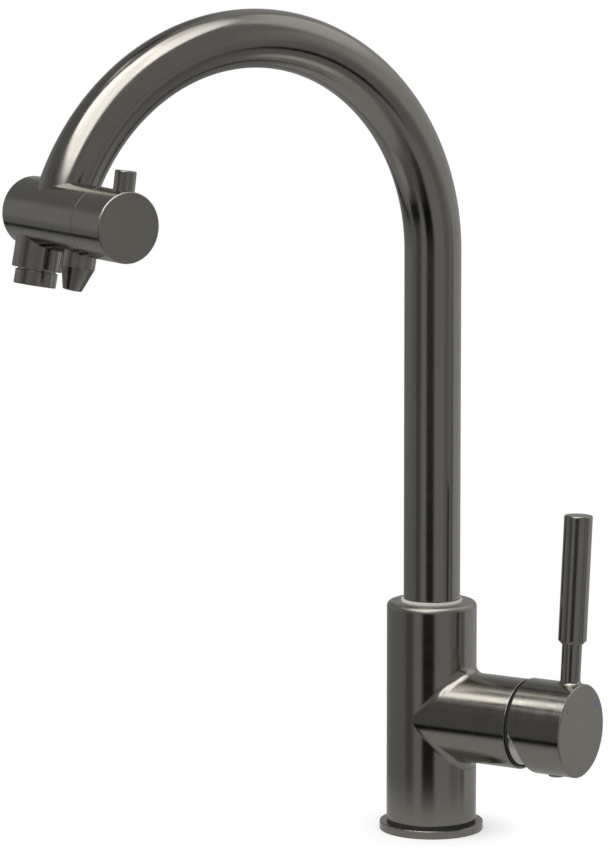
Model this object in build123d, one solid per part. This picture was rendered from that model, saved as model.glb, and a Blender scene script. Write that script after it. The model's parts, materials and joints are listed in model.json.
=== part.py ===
from build123d import *
import math
import os

# Three-way kitchen mixer tap: hot, cold and filtered water. Millimetres.
# The origin is the middle of the base, on the worktop. +Z is up, +X runs along the side arm to the
# mixing handle, and -Y is the way the spout faces before it is swung.
# Threads are plain cylinders at the thread's mean size.

# Body and base
BODY_R = 22.3
BODY_TOP = 115.3
BODY_TOP_ROUND = 2.6
BODY_SHOULDER = 5.6
FOOT_NECK_R = 21.0
FOOT_SEAL_R = 22.0
ARM_R = 22.25
ARM_HEIGHT = 58.9
ARM_END = 53.4
ARM_END_ROUND = 0.4
ARM_BLEND = 5.0
BASE_RING_R = 25.75
BASE_RING_HEIGHT = 4.0
BASE_RING_ROUND = 0.4
BASE_RING_SEAT = 2.4
BASE_RING_HOLE = 18.9
INLET_BLOCK_R = 18.6
INLET_BLOCK_TOP = 20.0
PORT_R = 4.7
PORT_DEPTH = 12.0
PORT_X = 10.0
PORT_Y = 7.0
STUD_R = 3.6
STUD_DEPTH = 14.0
STUD_Y = 13.4
CHANNEL_R = 2.6
WATERWAY_R = 8.0
WATERWAY_FOOT = 46.0
FIT_GAP = 0.1

# Spout
SPOUT_SWING = 24.0
TUBE_R = 14.0
TUBE_WALL = 1.2
BEND_R = 109.0
BEND_HEIGHT = 289.5
BEND_SWEEP = 163.3
SOCKET_R = 12.6
SOCKET_FOOT = 80.0
SLEEVE_R = 12.5
SLEEVE_TOP = 131.0
GLIDE_R = 15.2
GLIDE_THICK = 1.3
LOCK_HEIGHT = 93.0
PIPE_R = 4.0
PIPE_WALL = 1.4
PIPE_FOOT = 14.0
PIPE_TURN_R = 7.0

# Outlet head at the spout's tip. Its own frame has x along the head and -z along the outlets.
OUTLET_LEAN = 11.0
HEAD_R = 16.5
HEAD_FAR = -25.2
HEAD_NEAR = 36.3
HEAD_FAR_ROUND = 0.8
HEAD_CAVITY_R = 13.2
HEAD_CAVITY_NEAR = 13.5
VALVE_CHAMBER_R = 11.0
VALVE_CHAMBER_FAR = 17.0
AERATOR_AT = -12.8
COLLAR_R = 12.0
COLLAR_END = 26.4
COLLAR_ROUND = 0.6
AERATOR_R = 10.0
AERATOR_TOP = 27.2
AERATOR_END = 34.1
NOZZLE_AT = 22.4
NOZZLE_R = 7.8
NOZZLE_KNEE = 22.0
NOZZLE_END = 32.6
NOZZLE_TIP_R = 4.5
NOZZLE_TIP_SHIFT = -2.1
NOZZLE_TIP_TILT = 5.0
NOZZLE_SPIGOT_R = 5.0
NOZZLE_BORE = 3.0

# Filtered-water knob on the head's near end
KNOB_REAR = 36.5
KNOB_FACE = 59.7
KNOB_FLOOR = 46.5
PIN_AT = 52.0
PIN_R = 5.0
PIN_END = 25.6
PIN_TURN = 2.9
SPINDLE_R = 4.0

# Mixing handle and its cartridge
HANDLE_TURN = -3.0
PIVOT_X = 41.0
TILT_ARM = 5.0
TAIL_BALL_R = 1.8
DISC_R = 12.6
INLET_HEIGHT = 6.0
OUTLET_HEIGHT = -7.5
DOME_R = 24.3
DOME_WALL = 1.2
DOME_HOLE = 14.2
DOME_REAR = 54.5
DOME_NECK_R = 19.2
DOME_NECK_BORE = 17.4
DOME_SEAL_R = 21.0
CHAMBER_R = 17.6
CHAMBER_FLOOR = 24.0
NUT_R = 18.3
CAP_R = 23.1
CAP_WALL = 1.6
CAP_REAR = 55.3
CAP_FLOOR = 67.0
CAP_FACE = 84.5
CAP_CUT = ((0.0, 0.0), (7.3, 4.2), (24.0, 7.6))
SHANK = 7.0
LEVER_X = 77.1
LEVER_LEAN = 1.1
STEM_R = 4.9
STEM_FLARE = 1.8
GRIP_R = 7.0
GRIP_FOOT = 42.6
GRIP_TOP = 105.9
DOT_R = 1.25
DOT_CIRCLE = 18.5
DOT_ANGLE = 52.0
SCREW_X = 71.6
PLUG_PROUD = 0.8

# Frames of the groups
ARM = Pos(0, 0, ARM_HEIGHT)
HANDLE = ARM * Rot(X=HANDLE_TURN)
ALONG_X = Rot(Y=90)
SPOUT = Rot(Z=-SPOUT_SWING)
BEND_PLANE = Plane((0, -BEND_R, BEND_HEIGHT), x_dir=(0, 1, 0), z_dir=(1, 0, 0))
BEND_END = math.radians(BEND_SWEEP)
REACH = BEND_R * (1 - math.cos(BEND_END))
HEAD_HEIGHT = BEND_HEIGHT + BEND_R * math.sin(BEND_END)
HEAD = Pos(0, -REACH, HEAD_HEIGHT) * Rot(X=-OUTLET_LEAN)


def rod(radius, start, end):
    """A round bar on the Z axis from start to end."""
    return Pos(0, 0, (start + end) / 2) * Cylinder(radius, abs(end - start))


def bar_x(radius, start, end, y=0.0, z=0.0):
    """A round bar along X from start to end."""
    return Pos((start + end) / 2, y, z) * Rot(Y=90) * Cylinder(radius, abs(end - start))


def bar_y(radius, start, end, x=0.0, z=0.0):
    """A round bar along Y from start to end."""
    return Pos(x, (start + end) / 2, z) * Rot(X=90) * Cylinder(radius, abs(end - start))


def turned(profile):
    """A piece turned on the Z axis from its half outline, a list of (radius, height) corners."""
    outline = Polyline(*[Vector(r, 0, z) for r, z in profile], close=True)
    return revolve(make_face(outline), axis=Axis.Z)


def ring(outer, inner, start, end):
    """A plain ring on the Z axis."""
    return rod(outer, start, end) - rod(inner, start, end)


def edges_at(shape, height, radius):
    """The round edges of that radius lying at that height on Z."""
    return [
        e
        for e in shape.edges().filter_by(GeomType.CIRCLE)
        if abs(e.center(CenterOf.BOUNDING_BOX).Z - height) < 1e-3 and abs(e.radius - radius) < 1e-3
    ]


def base_ring():
    """The foot ring: a flat ring with a seat for the body and a groove for its gasket."""
    shape = rod(BASE_RING_R, 0, BASE_RING_HEIGHT)
    shape = fillet(edges_at(shape, BASE_RING_HEIGHT, BASE_RING_R), BASE_RING_ROUND)
    shape -= rod(FOOT_NECK_R + FIT_GAP, BASE_RING_SEAT, BASE_RING_HEIGHT)
    shape -= rod(BASE_RING_HOLE, 0, BASE_RING_SEAT)
    return shape - ring(23.6, 21.4, 0, 1.3)


def base_gasket():
    return ring(23.5, 21.5, 0, 1.2)


def foot_seal():
    """The rubber ring that shows as a black line between the foot ring and the body's shoulder."""
    return ring(FOOT_SEAL_R, FOOT_NECK_R + 0.05, BASE_RING_HEIGHT + 0.05, BODY_SHOULDER - 0.05)


def inlet_block():
    """The brass block under the body, with three hose ports and two stud holes."""
    shape = rod(INLET_BLOCK_R, 0, INLET_BLOCK_TOP)
    shape -= rod(PORT_R, 0, PORT_DEPTH) + rod(PIPE_R + FIT_GAP, PORT_DEPTH, INLET_BLOCK_TOP)
    shape -= rod(5.7, 16.0, 18.0)
    for side in (-1, 1):
        at_port = Pos(PORT_X, side * PORT_Y, 0)
        shape -= at_port * rod(PORT_R, 0, PORT_DEPTH)
        shape -= at_port * rod(CHANNEL_R, PORT_DEPTH, INLET_BLOCK_TOP)
        shape -= Pos(0, side * STUD_Y, 0) * rod(STUD_R, 0, STUD_DEPTH)
    return shape


def filter_pipe_seal():
    return Pos(0, 0, 17.0) * Torus(4.85, 0.78)


def body():
    """The cast body: upright barrel and side arm, blended, with its chambers and waterways."""
    barrel = rod(BODY_R, BODY_SHOULDER, BODY_TOP) + rod(FOOT_NECK_R, BASE_RING_SEAT, BODY_SHOULDER)
    arm = bar_x(ARM_R, 0, ARM_END, z=ARM_HEIGHT)
    shape = barrel + arm
    seam = [
        e
        for e in shape.edges()
        if e.geom_type not in (GeomType.CIRCLE, GeomType.LINE)
        and abs(e.center(CenterOf.BOUNDING_BOX).Z - ARM_HEIGHT) < ARM_R
    ]
    shape = fillet(seam, ARM_BLEND)
    shape = fillet(edges_at(shape, BODY_TOP, BODY_R), BODY_TOP_ROUND)
    end_edges = shape.edges().filter_by(GeomType.CIRCLE).sort_by(Axis.X)[-1:]
    shape = fillet(end_edges, ARM_END_ROUND)
    # cartridge chamber and the nut's thread
    shape -= bar_x(CHAMBER_R, CHAMBER_FLOOR, ARM_END, z=ARM_HEIGHT)
    shape -= bar_x(NUT_R + FIT_GAP, 46.0, ARM_END, z=ARM_HEIGHT)
    # spout socket, with a wider mouth for the glide ring
    shape -= rod(SOCKET_R, SOCKET_FOOT, BODY_TOP) + rod(13.6, 109.0, BODY_TOP)
    shape -= rod(WATERWAY_R, WATERWAY_FOOT, SOCKET_FOOT)
    shape -= bar_x(CHANNEL_R, 0, CHAMBER_FLOOR, z=ARM_HEIGHT + OUTLET_HEIGHT)
    # inlet block's seat, the filtered pipe's bore, and the hot and cold channels
    shape -= rod(INLET_BLOCK_R + FIT_GAP, BASE_RING_SEAT, INLET_BLOCK_TOP)
    shape -= rod(PIPE_R + 0.6, INLET_BLOCK_TOP, WATERWAY_FOOT)
    level = ARM_HEIGHT + INLET_HEIGHT
    for side in (-1, 1):
        shape -= Pos(PORT_X, side * PORT_Y, 0) * rod(CHANNEL_R, INLET_BLOCK_TOP, level + CHANNEL_R)
        shape -= bar_x(CHANNEL_R, PORT_X, CHAMBER_FLOOR, y=side * PORT_Y, z=level)
    return shape - bar_y(2.5, SOCKET_R - 2, BODY_R + 1, z=LOCK_HEIGHT)


def spout_lock_screw():
    """The grub screw behind the body whose tip runs in the spout's groove."""
    shape = bar_y(2.45, 12.0, 20.8, z=LOCK_HEIGHT)
    socket = Pos(0, 19.6, LOCK_HEIGHT) * Rot(X=90) * extrude(RegularPolygon(1.45, 6), 1.4, both=True)
    return shape - socket


def glide_ring():
    """The pale ring that the spout turns on."""
    return turned(
        [
            (12.65, 109.4),
            (13.5, 109.4),
            (13.5, BODY_TOP),
            (GLIDE_R, BODY_TOP),
            (GLIDE_R, BODY_TOP + GLIDE_THICK - 0.35),
            (GLIDE_R - 0.35, BODY_TOP + GLIDE_THICK),
            (12.65, BODY_TOP + GLIDE_THICK),
        ]
    )


def spout_path(sweep):
    """The spout's centre line from its foot, over the bend, through that many degrees."""
    foot = BODY_TOP + GLIDE_THICK + 0.1
    rise = Line((0, 0, foot), (0, 0, BEND_HEIGHT))
    over = BEND_PLANE * CenterArc((0, 0, 0), BEND_R, 0, sweep)
    return Wire([rise.edge(), over.edge()])


def round_sweep(path, radius):
    return sweep(path.location_at(0) * Circle(radius), path=path)


def spout_tube():
    """The bent tube, coped at its end to sit on the outlet head."""
    path = spout_path(BEND_SWEEP)
    shape = round_sweep(path, TUBE_R) - round_sweep(path, TUBE_R - TUBE_WALL)
    return shape - HEAD * bar_x(HEAD_R, HEAD_FAR, HEAD_NEAR)


def spout_sleeve():
    """The brass sleeve in the tube's foot, with two seal grooves and a groove for the lock screw."""
    foot = BODY_TOP + GLIDE_THICK + 0.1
    profile = [(9.5, SOCKET_FOOT + 1.0), (SLEEVE_R, SOCKET_FOOT + 1.0)]
    grooves = ((85.2, 1.2, 1.8), (LOCK_HEIGHT, 2.7, 1.0), (101.2, 1.2, 1.8))
    for height, half, depth in grooves:
        low, high = height - half, height + half
        profile += [(SLEEVE_R, low), (SLEEVE_R - depth, low), (SLEEVE_R - depth, high), (SLEEVE_R, high)]
    in_tube = TUBE_R - TUBE_WALL - 0.05
    return turned(profile + [(SLEEVE_R, foot), (in_tube, foot), (in_tube, SLEEVE_TOP), (9.5, SLEEVE_TOP)])


def spout_seals():
    return Pos(0, 0, 85.2) * Torus(11.65, 0.88) + Pos(0, 0, 101.2) * Torus(11.65, 0.88)


def filter_pipe():
    """The filtered-water pipe: up the middle of the spout, round the bend, then along the head."""
    back = math.degrees(PIPE_TURN_R / BEND_R)
    at = math.radians(BEND_SWEEP - back)
    start = Vector(0, -BEND_R * (1 - math.cos(at)), BEND_HEIGHT + BEND_R * math.sin(at))
    down = Vector(0, -math.sin(at), math.cos(at))
    along = Vector(1, 0, 0)
    corner_end = start + down * PIPE_TURN_R + along * PIPE_TURN_R
    middle = start + along * PIPE_TURN_R + (down - along) * (PIPE_TURN_R * math.sqrt(0.5))
    rise = Line((0, 0, PIPE_FOOT), (0, 0, BEND_HEIGHT))
    over = BEND_PLANE * CenterArc((0, 0, 0), BEND_R, 0, BEND_SWEEP - back)
    turn = ThreePointArc(start, middle, corner_end)
    tail = Line(corner_end, corner_end + along * (VALVE_CHAMBER_FAR - 0.5 - PIPE_TURN_R))
    path = Wire([rise.edge(), over.edge(), turn.edge(), tail.edge()])
    return round_sweep(path, PIPE_R) - round_sweep(path, PIPE_R - PIPE_WALL)


def outlet_head():
    """The cross cylinder at the tip: one cavity for mixed water, one chamber for the filter valve."""
    shape = bar_x(HEAD_R, HEAD_FAR, HEAD_NEAR)
    far_edge = shape.edges().filter_by(GeomType.CIRCLE).sort_by(Axis.X)[:1]
    shape = fillet(far_edge, HEAD_FAR_ROUND)
    shape -= bar_x(HEAD_CAVITY_R, HEAD_FAR + 3.0, HEAD_CAVITY_NEAR)
    shape -= bar_x(VALVE_CHAMBER_R, VALVE_CHAMBER_FAR, HEAD_NEAR)
    shape -= bar_x(PIPE_R + 0.4, HEAD_CAVITY_NEAR, VALVE_CHAMBER_FAR)
    shape -= Pos(AERATOR_AT, 0, 0) * rod(9.5, -20.0, -8.0)
    shape -= Pos(NOZZLE_AT, 0, 0) * rod(NOZZLE_SPIGOT_R + FIT_GAP, -20.0, -8.0)
    return HEAD * shape - round_sweep(spout_path(BEND_SWEEP), TUBE_R - TUBE_WALL)


def aerator_collar():
    """The round collar under the head that holds the aerator."""
    shape = rod(COLLAR_R, -COLLAR_END, -8.0)
    shape = fillet(edges_at(shape, -COLLAR_END, COLLAR_R), COLLAR_ROUND)
    shape = Pos(AERATOR_AT, 0, 0) * shape - bar_x(HEAD_R, HEAD_FAR, HEAD_NEAR)
    shape += Pos(AERATOR_AT, 0, 0) * (rod(9.4, -18.0, -12.2) - bar_x(HEAD_CAVITY_R, -30, 30))
    shape -= Pos(AERATOR_AT, 0, 0) * (rod(7.5, -COLLAR_END, -8.0) + rod(9.2, -COLLAR_END, -18.0))
    return HEAD * shape


def aerator_shell():
    """The screwed ring under the collar, with the neck that shows as a dark line."""
    profile = [
        (8.0, -19.6),
        (9.1, -19.6),
        (9.1, -AERATOR_TOP),
        (AERATOR_R - 0.5, -AERATOR_TOP),
        (AERATOR_R, -AERATOR_TOP - 0.5),
        (AERATOR_R, -AERATOR_END + 0.7),
        (AERATOR_R - 0.7, -AERATOR_END),
        (7.2, -AERATOR_END),
        (7.2, -AERATOR_END + 1.0),
        (8.0, -AERATOR_END + 1.0),
    ]
    return HEAD * Pos(AERATOR_AT, 0, 0) * turned(profile)


def aerator_washer():
    return HEAD * Pos(AERATOR_AT, 0, 0) * ring(9.1, 7.0, -19.5, -18.1)


def aerator_insert():
    """The plastic cartridge of the aerator, with a honeycomb of holes at its foot."""
    foot = -AERATOR_END + 1.05
    shape = rod(7.9, foot, -20.6) - rod(6.6, foot + 1.6, -20.6) + rod(6.9, -23.6, -22.4)
    pitch = 2.1
    for row in range(-3, 4):
        for column in range(-3, 4):
            x, y = pitch * (column + row / 2), pitch * row * math.sqrt(0.75)
            if math.hypot(x, y) < 5.9:
                shape -= Pos(x, y, 0) * rod(0.8, foot, foot + 1.6)
                shape -= Pos(x, y, 0) * rod(0.5, -23.6, -22.4)
    return HEAD * Pos(AERATOR_AT, 0, 0) * shape


def filter_nozzle():
    """The tapered filtered-water nozzle, whose tip leans towards the aerator."""
    knee, tip = -NOZZLE_KNEE, -NOZZLE_END
    upper = Pos(NOZZLE_AT, 0, 0) * rod(NOZZLE_R, knee, -8.0)
    upper -= bar_x(HEAD_R, HEAD_FAR, HEAD_NEAR)
    cone = loft(
        [
            Pos(NOZZLE_AT, 0, knee) * Circle(NOZZLE_R),
            Pos(NOZZLE_AT + NOZZLE_TIP_SHIFT, 0, tip) * Rot(Y=NOZZLE_TIP_TILT) * Circle(NOZZLE_TIP_R),
        ]
    )
    spigot = Pos(NOZZLE_AT, 0, 0) * rod(NOZZLE_SPIGOT_R, -18.0, -12.0) - bar_x(VALVE_CHAMBER_R, 0, 40)
    bore = Pos(NOZZLE_AT, 0, 0) * rod(NOZZLE_BORE, knee, -8.0) + loft(
        [
            Pos(NOZZLE_AT, 0, knee) * Circle(NOZZLE_BORE),
            Pos(NOZZLE_AT + NOZZLE_TIP_SHIFT, 0, tip) * Rot(Y=NOZZLE_TIP_TILT) * Circle(NOZZLE_BORE),
        ]
    )
    return HEAD * (upper + cone + spigot - bore)


def valve_body():
    """The brass headwork of the filter valve, with a window over the nozzle."""
    flange = HEAD_NEAR - 0.5
    profile = [
        (8.2, 18.0),
        (10.9, 18.0),
        (10.9, flange),
        (8.5, flange),
        (8.5, 45.0),
        (4.1, 45.0),
        (4.1, 25.1),
        (8.2, 25.1),
    ]
    shape = ALONG_X * turned(profile)
    shape -= Pos(23.2, 0, -9.5) * Box(3.4, 9.0, 5.0)
    return HEAD * shape


def valve_seal():
    return HEAD * ALONG_X * ring(8.1, 5.2, 17.05, 18.15)


def filter_disc(start, end, hole_angle):
    """A ceramic disc with two round ports on a line through its middle."""
    shape = rod(8.05, start, end)
    for side in (0, 180):
        shape -= Rot(Z=hole_angle + side) * Pos(4.6, 0, 0) * rod(1.9, start, end)
    return HEAD * ALONG_X * shape


def valve_spindle():
    """The turning spindle from the moving disc out to the knob."""
    shape = rod(8.0, 23.3, 25.0) + rod(SPINDLE_R, 25.0, 52.6)
    return HEAD * ALONG_X * shape


def filter_knob():
    """The knob: a cup over the valve's nose, with a solid front."""
    shape = rod(HEAD_R, KNOB_REAR, KNOB_FACE)
    shape = chamfer(edges_at(shape, KNOB_FACE, HEAD_R), 0.5)
    shape -= rod(HEAD_R - 1.9, KNOB_REAR, KNOB_FLOOR) + rod(SPINDLE_R + 0.05, KNOB_FLOOR, 53.0)
    shape = ALONG_X * shape
    shape -= Pos(PIN_AT, 0, 0) * Rot(X=PIN_TURN) * rod(2.5, 7.4, HEAD_R + 1)
    shape -= Pos(50.0, 0, 0) * Rot(X=PIN_TURN) * rod(2.0, -HEAD_R - 1, 0)
    return HEAD * shape


def knob_pin():
    """The short pin that turns the knob, coped to the knob's round side."""
    shape = rod(PIN_R, HEAD_R - 4, PIN_END)
    shape = fillet(edges_at(shape, PIN_END, PIN_R), 0.6)
    shape = Pos(PIN_AT, 0, 0) * shape - bar_x(HEAD_R, KNOB_REAR, KNOB_FACE)
    shape += Pos(PIN_AT, 0, 0) * rod(2.45, 7.6, HEAD_R + 0.5)
    return HEAD * Rot(X=PIN_TURN) * shape


def knob_screw():
    screw = Pos(50.0, 0, 0) * rod(1.95, -15.6, -4.2)
    socket = Pos(50.0, 0, -15.0) * extrude(RegularPolygon(1.1, 6), 1.2, both=True)
    return HEAD * Rot(X=PIN_TURN) * (screw - socket)


def port_points():
    """Hot, cold and mixed ports on the cartridge's floor, as (y, z) about the arm's axis."""
    return ((-PORT_Y, INLET_HEIGHT), (PORT_Y, INLET_HEIGHT), (0.0, OUTLET_HEIGHT))


def cartridge_seals():
    rings = [Pos(0, y, z) * Rot(Y=90) * ring(5.0, 3.4, CHAMBER_FLOOR, 25.6) for y, z in port_points()]
    return ARM * Compound(children=[Part() + r for r in rings])


def cartridge_base():
    shape = bar_x(17.4, 25.0, 28.0)
    for y, z in port_points():
        shape -= bar_x(5.1, 25.0, 25.7, y, z) + bar_x(CHANNEL_R, 25.0, 28.0, y, z)
    return ARM * shape


def fixed_disc():
    shape = bar_x(15.2, 28.0, 31.0)
    for y, z in port_points():
        shape -= bar_x(CHANNEL_R, 28.0, 31.0, y, z)
    return ARM * shape


def cartridge_housing():
    """The plastic shell round the discs, with the neck that the lever comes out of."""
    profile = [
        (15.4, 28.0),
        (17.4, 28.0),
        (17.4, 46.0),
        (12.6, 46.0),
        (12.6, 50.0),
        (10.9, 50.0),
        (10.9, 44.3),
        (15.4, 44.3),
    ]
    return ARM * ALONG_X * turned(profile)


def cartridge_nut():
    """The ring nut that holds the cartridge down, with key slots in its face."""
    shape = ring(NUT_R, 13.0, 46.1, 52.2)
    for turn in range(4):
        shape -= Rot(Z=45 + 90 * turn) * Pos(15.7, 0, 51.2) * Box(3.0, 4.0, 2.2)
    return ARM * ALONG_X * shape


def dome_collar():
    """The domed cover over the nut: a ball centred on the handle's tilt axis, on a narrower neck."""
    shell = Sphere(DOME_R) - Sphere(DOME_R - DOME_WALL)
    shell -= Pos(0, 0, -50 + DOME_REAR - PIVOT_X) * Box(100, 100, 100)
    shell -= rod(DOME_HOLE, 0, 40)
    foot = ARM_END + 0.1
    neck = ring(DOME_NECK_R, DOME_NECK_BORE, foot, DOME_REAR + 1.1) + ring(NUT_R, DOME_NECK_BORE, 52.3, foot)
    return ARM * ALONG_X * (Pos(0, 0, PIVOT_X) * shell + neck)


def dome_seal():
    """The rubber ring in the groove between the arm's end and the dome, a black line behind the cap."""
    return ARM * ALONG_X * ring(DOME_SEAL_R, DOME_NECK_R + 0.05, ARM_END + 0.05, DOME_REAR - 0.05)


def disc_driver():
    """The plastic driver on the moving disc, with a square hole for the lever's ball."""
    hole = 2 * TAIL_BALL_R + 0.3
    shape = bar_x(DISC_R, 34.0, 37.4) - Pos(35.7, 0, 0) * Box(3.4, hole, hole)
    return HANDLE * shape


def moving_disc():
    """The moving disc: the recess joins the outlet to the inlets once the disc has slid up."""
    recess_top = INLET_HEIGHT - CHANNEL_R - 0.8
    recess_foot = OUTLET_HEIGHT - 1.5
    recess = Pos(31.75, 0, (recess_top + recess_foot) / 2) * Box(1.5, 12.0, recess_top - recess_foot)
    return HANDLE * (bar_x(DISC_R, 31.0, 34.0) - recess)


def lever_carrier():
    """The turning holder of the cartridge lever, with a slot that lets the lever tilt."""
    shape = rod(15.2, 37.6, 44.1) + rod(10.7, 44.1, 49.6)
    shape = HANDLE * ALONG_X * shape
    slot = Pos(PIVOT_X, 0, -1.9) * Box(30, 8.6, 13.6)
    return shape - HANDLE * slot - HANDLE * bar_y(1.55, -16, 16, x=PIVOT_X)


def lever_pivot():
    return HANDLE * bar_y(1.5, -14.6, 14.6, x=PIVOT_X)


def cartridge_lever():
    """The metal lever: a hub on the pivot, a ball tail in the driver, and a square shank to the cap."""
    hub = bar_y(3.3, -4.1, 4.1, x=PIVOT_X)
    tail = bar_x(1.2, PIVOT_X - TILT_ARM, PIVOT_X) + Pos(PIVOT_X - TILT_ARM, 0, 0) * Sphere(TAIL_BALL_R)
    shank = Pos((PIVOT_X + 79.0) / 2, 0, 0) * Box(79.0 - PIVOT_X, SHANK, SHANK)
    return HANDLE * (hub + tail + shank - bar_y(1.55, -16, 16, x=PIVOT_X))


def handle_cap():
    """The round cap, its rear edge cut back at the foot so that it can tilt."""
    shape = rod(CAP_R, CAP_REAR, CAP_FACE)
    shape = chamfer(edges_at(shape, CAP_FACE, CAP_R), 0.6)
    shape -= rod(CAP_R - CAP_WALL, CAP_REAR, CAP_FLOOR)
    shape = ALONG_X * shape
    cut = [(CAP_REAR + back, 0, -below) for below, back in CAP_CUT]
    cut += [(CAP_REAR - 1, 0, -CAP_CUT[-1][0]), (CAP_REAR - 1, 0, -CAP_CUT[0][0])]
    wedge = make_face(Polyline(*cut, close=True))
    shape -= extrude(wedge, 40, both=True)
    shape -= Pos((CAP_FLOOR + 79.5) / 2, 0, 0) * Box(79.5 - CAP_FLOOR, SHANK + 0.2, SHANK + 0.2)
    shape -= Pos(SCREW_X, 0, 0) * rod(2.6, -CAP_R - 1, 0)
    shape -= Pos(SCREW_X, 0, 0) * rod(3.9, -CAP_R - 1, -CAP_R + 3.0)
    shape -= Pos(LEVER_X, 0, 0) * Rot(Y=LEVER_LEAN) * rod(3.1, 9.0, CAP_R + 1)
    for side in (-1, 1):
        shape -= dot_place(side) * rod(DOT_R + 0.02, CAP_FACE - 0.6, CAP_FACE + 1)
    return HANDLE * shape


def dot_place(side):
    """Where the hot (-1) and cold (+1) dots sit on the cap's face."""
    angle = math.radians(DOT_ANGLE)
    return Pos(0, side * DOT_CIRCLE * math.sin(angle), DOT_CIRCLE * math.cos(angle)) * ALONG_X


def handle_dot(side):
    return HANDLE * dot_place(side) * rod(DOT_R, CAP_FACE - 0.58, CAP_FACE + 0.05)


def handle_screw():
    screw = Pos(SCREW_X, 0, 0) * rod(2.55, -16.0, -3.7)
    socket = Pos(SCREW_X, 0, -15.4) * extrude(RegularPolygon(1.45, 6), 1.4, both=True)
    return HANDLE * (screw - socket)


def handle_plug():
    """The soft plug that hides the handle's screw, standing a little proud."""
    shape = rod(3.85, -CAP_R - PLUG_PROUD, -CAP_R + 2.9)
    shape = fillet(edges_at(shape, -CAP_R - PLUG_PROUD, 3.85), 0.5)
    return HANDLE * Pos(SCREW_X, 0, 0) * shape


def lever_frame():
    return HANDLE * Pos(LEVER_X, 0, 0) * Rot(Y=LEVER_LEAN)


def lever_stem():
    """The lever's rod: a flared foot on the cap, a threaded end in it, and a long top in the grip."""
    foot = CAP_R - 0.2
    shape = rod(STEM_R, CAP_R - 4, GRIP_FOOT) + rod(STEM_R - 0.5, GRIP_FOOT, 92.0)
    outline = [(0, foot - 3.0), (STEM_R + STEM_FLARE, foot - 3.0)]
    for angle in range(0, 91, 15):
        across, up = 1 - math.sin(math.radians(angle)), 1 - math.cos(math.radians(angle))
        outline.append((STEM_R + STEM_FLARE * across, foot + STEM_FLARE * up))
    flare = turned(outline + [(0, foot + STEM_FLARE)])
    shape = lever_frame() * (shape + flare)
    shape -= HANDLE * bar_x(CAP_R, CAP_REAR, CAP_FACE)
    return shape + lever_frame() * rod(3.0, 9.2, CAP_R + 1.0)


def lever_grip():
    """The grip sleeve, chamfered at its foot and closed on top."""
    shape = rod(GRIP_R, GRIP_FOOT, GRIP_TOP)
    shape = chamfer(edges_at(shape, GRIP_FOOT, GRIP_R), 1.7)
    shape = fillet(edges_at(shape, GRIP_TOP, GRIP_R), 0.8)
    return lever_frame() * (shape - rod(STEM_R - 0.45, GRIP_FOOT, 92.5))


PARTS = {
    "base_ring": base_ring,
    "base_gasket": base_gasket,
    "foot_seal": foot_seal,
    "inlet_block": inlet_block,
    "filter_pipe_seal": filter_pipe_seal,
    "tap_body": body,
    "spout_lock_screw": spout_lock_screw,
    "glide_ring": glide_ring,
    "cartridge_seals": cartridge_seals,
    "cartridge_base": cartridge_base,
    "fixed_disc": fixed_disc,
    "cartridge_housing": cartridge_housing,
    "cartridge_nut": cartridge_nut,
    "dome_collar": dome_collar,
    "dome_seal": dome_seal,
    "moving_disc": moving_disc,
    "disc_driver": disc_driver,
    "lever_carrier": lever_carrier,
    "lever_pivot": lever_pivot,
    "cartridge_lever": cartridge_lever,
    "handle_cap": handle_cap,
    "handle_screw": handle_screw,
    "handle_plug": handle_plug,
    "hot_dot": lambda: handle_dot(-1),
    "cold_dot": lambda: handle_dot(1),
    "lever_stem": lever_stem,
    "lever_grip": lever_grip,
}
SPOUT_PARTS = {
    "spout_tube": spout_tube,
    "spout_sleeve": spout_sleeve,
    "spout_seals": spout_seals,
    "filter_pipe": filter_pipe,
    "outlet_head": outlet_head,
    "aerator_collar": aerator_collar,
    "aerator_washer": aerator_washer,
    "aerator_insert": aerator_insert,
    "aerator_shell": aerator_shell,
    "filter_nozzle": filter_nozzle,
    "valve_body": valve_body,
    "valve_seal": valve_seal,
    "valve_fixed_disc": lambda: filter_disc(18.2, 20.7, 0),
    "valve_moving_disc": lambda: filter_disc(20.7, 23.2, 90),
    "valve_spindle": valve_spindle,
    "filter_knob": filter_knob,
    "knob_pin": knob_pin,
    "knob_screw": knob_screw,
}


def main():
    os.makedirs("parts", exist_ok=True)
    for name, make in PARTS.items():
        export_step(Part() + make(), f"parts/{name}.step")
    for name, make in SPOUT_PARTS.items():
        export_step(Part() + SPOUT * make(), f"parts/{name}.step")


main()
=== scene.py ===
import json
import math
import bpy
import numpy as np
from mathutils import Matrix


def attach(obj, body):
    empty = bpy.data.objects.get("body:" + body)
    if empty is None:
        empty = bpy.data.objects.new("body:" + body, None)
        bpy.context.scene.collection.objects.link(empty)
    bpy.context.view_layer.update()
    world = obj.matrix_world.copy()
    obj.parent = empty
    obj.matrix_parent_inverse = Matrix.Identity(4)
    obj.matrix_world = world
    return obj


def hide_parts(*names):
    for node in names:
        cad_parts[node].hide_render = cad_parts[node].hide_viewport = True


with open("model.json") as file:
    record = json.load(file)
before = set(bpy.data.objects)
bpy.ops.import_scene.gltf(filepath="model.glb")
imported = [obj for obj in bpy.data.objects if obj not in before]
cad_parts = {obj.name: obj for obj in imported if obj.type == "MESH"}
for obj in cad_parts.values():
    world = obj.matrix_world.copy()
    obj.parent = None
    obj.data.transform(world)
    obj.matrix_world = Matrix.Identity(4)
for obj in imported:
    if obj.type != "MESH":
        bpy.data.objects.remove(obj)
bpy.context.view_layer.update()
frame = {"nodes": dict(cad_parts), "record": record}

# Lengths are millimetres and named angles degrees, unless a comment says otherwise.
METRES = 0.001

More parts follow.
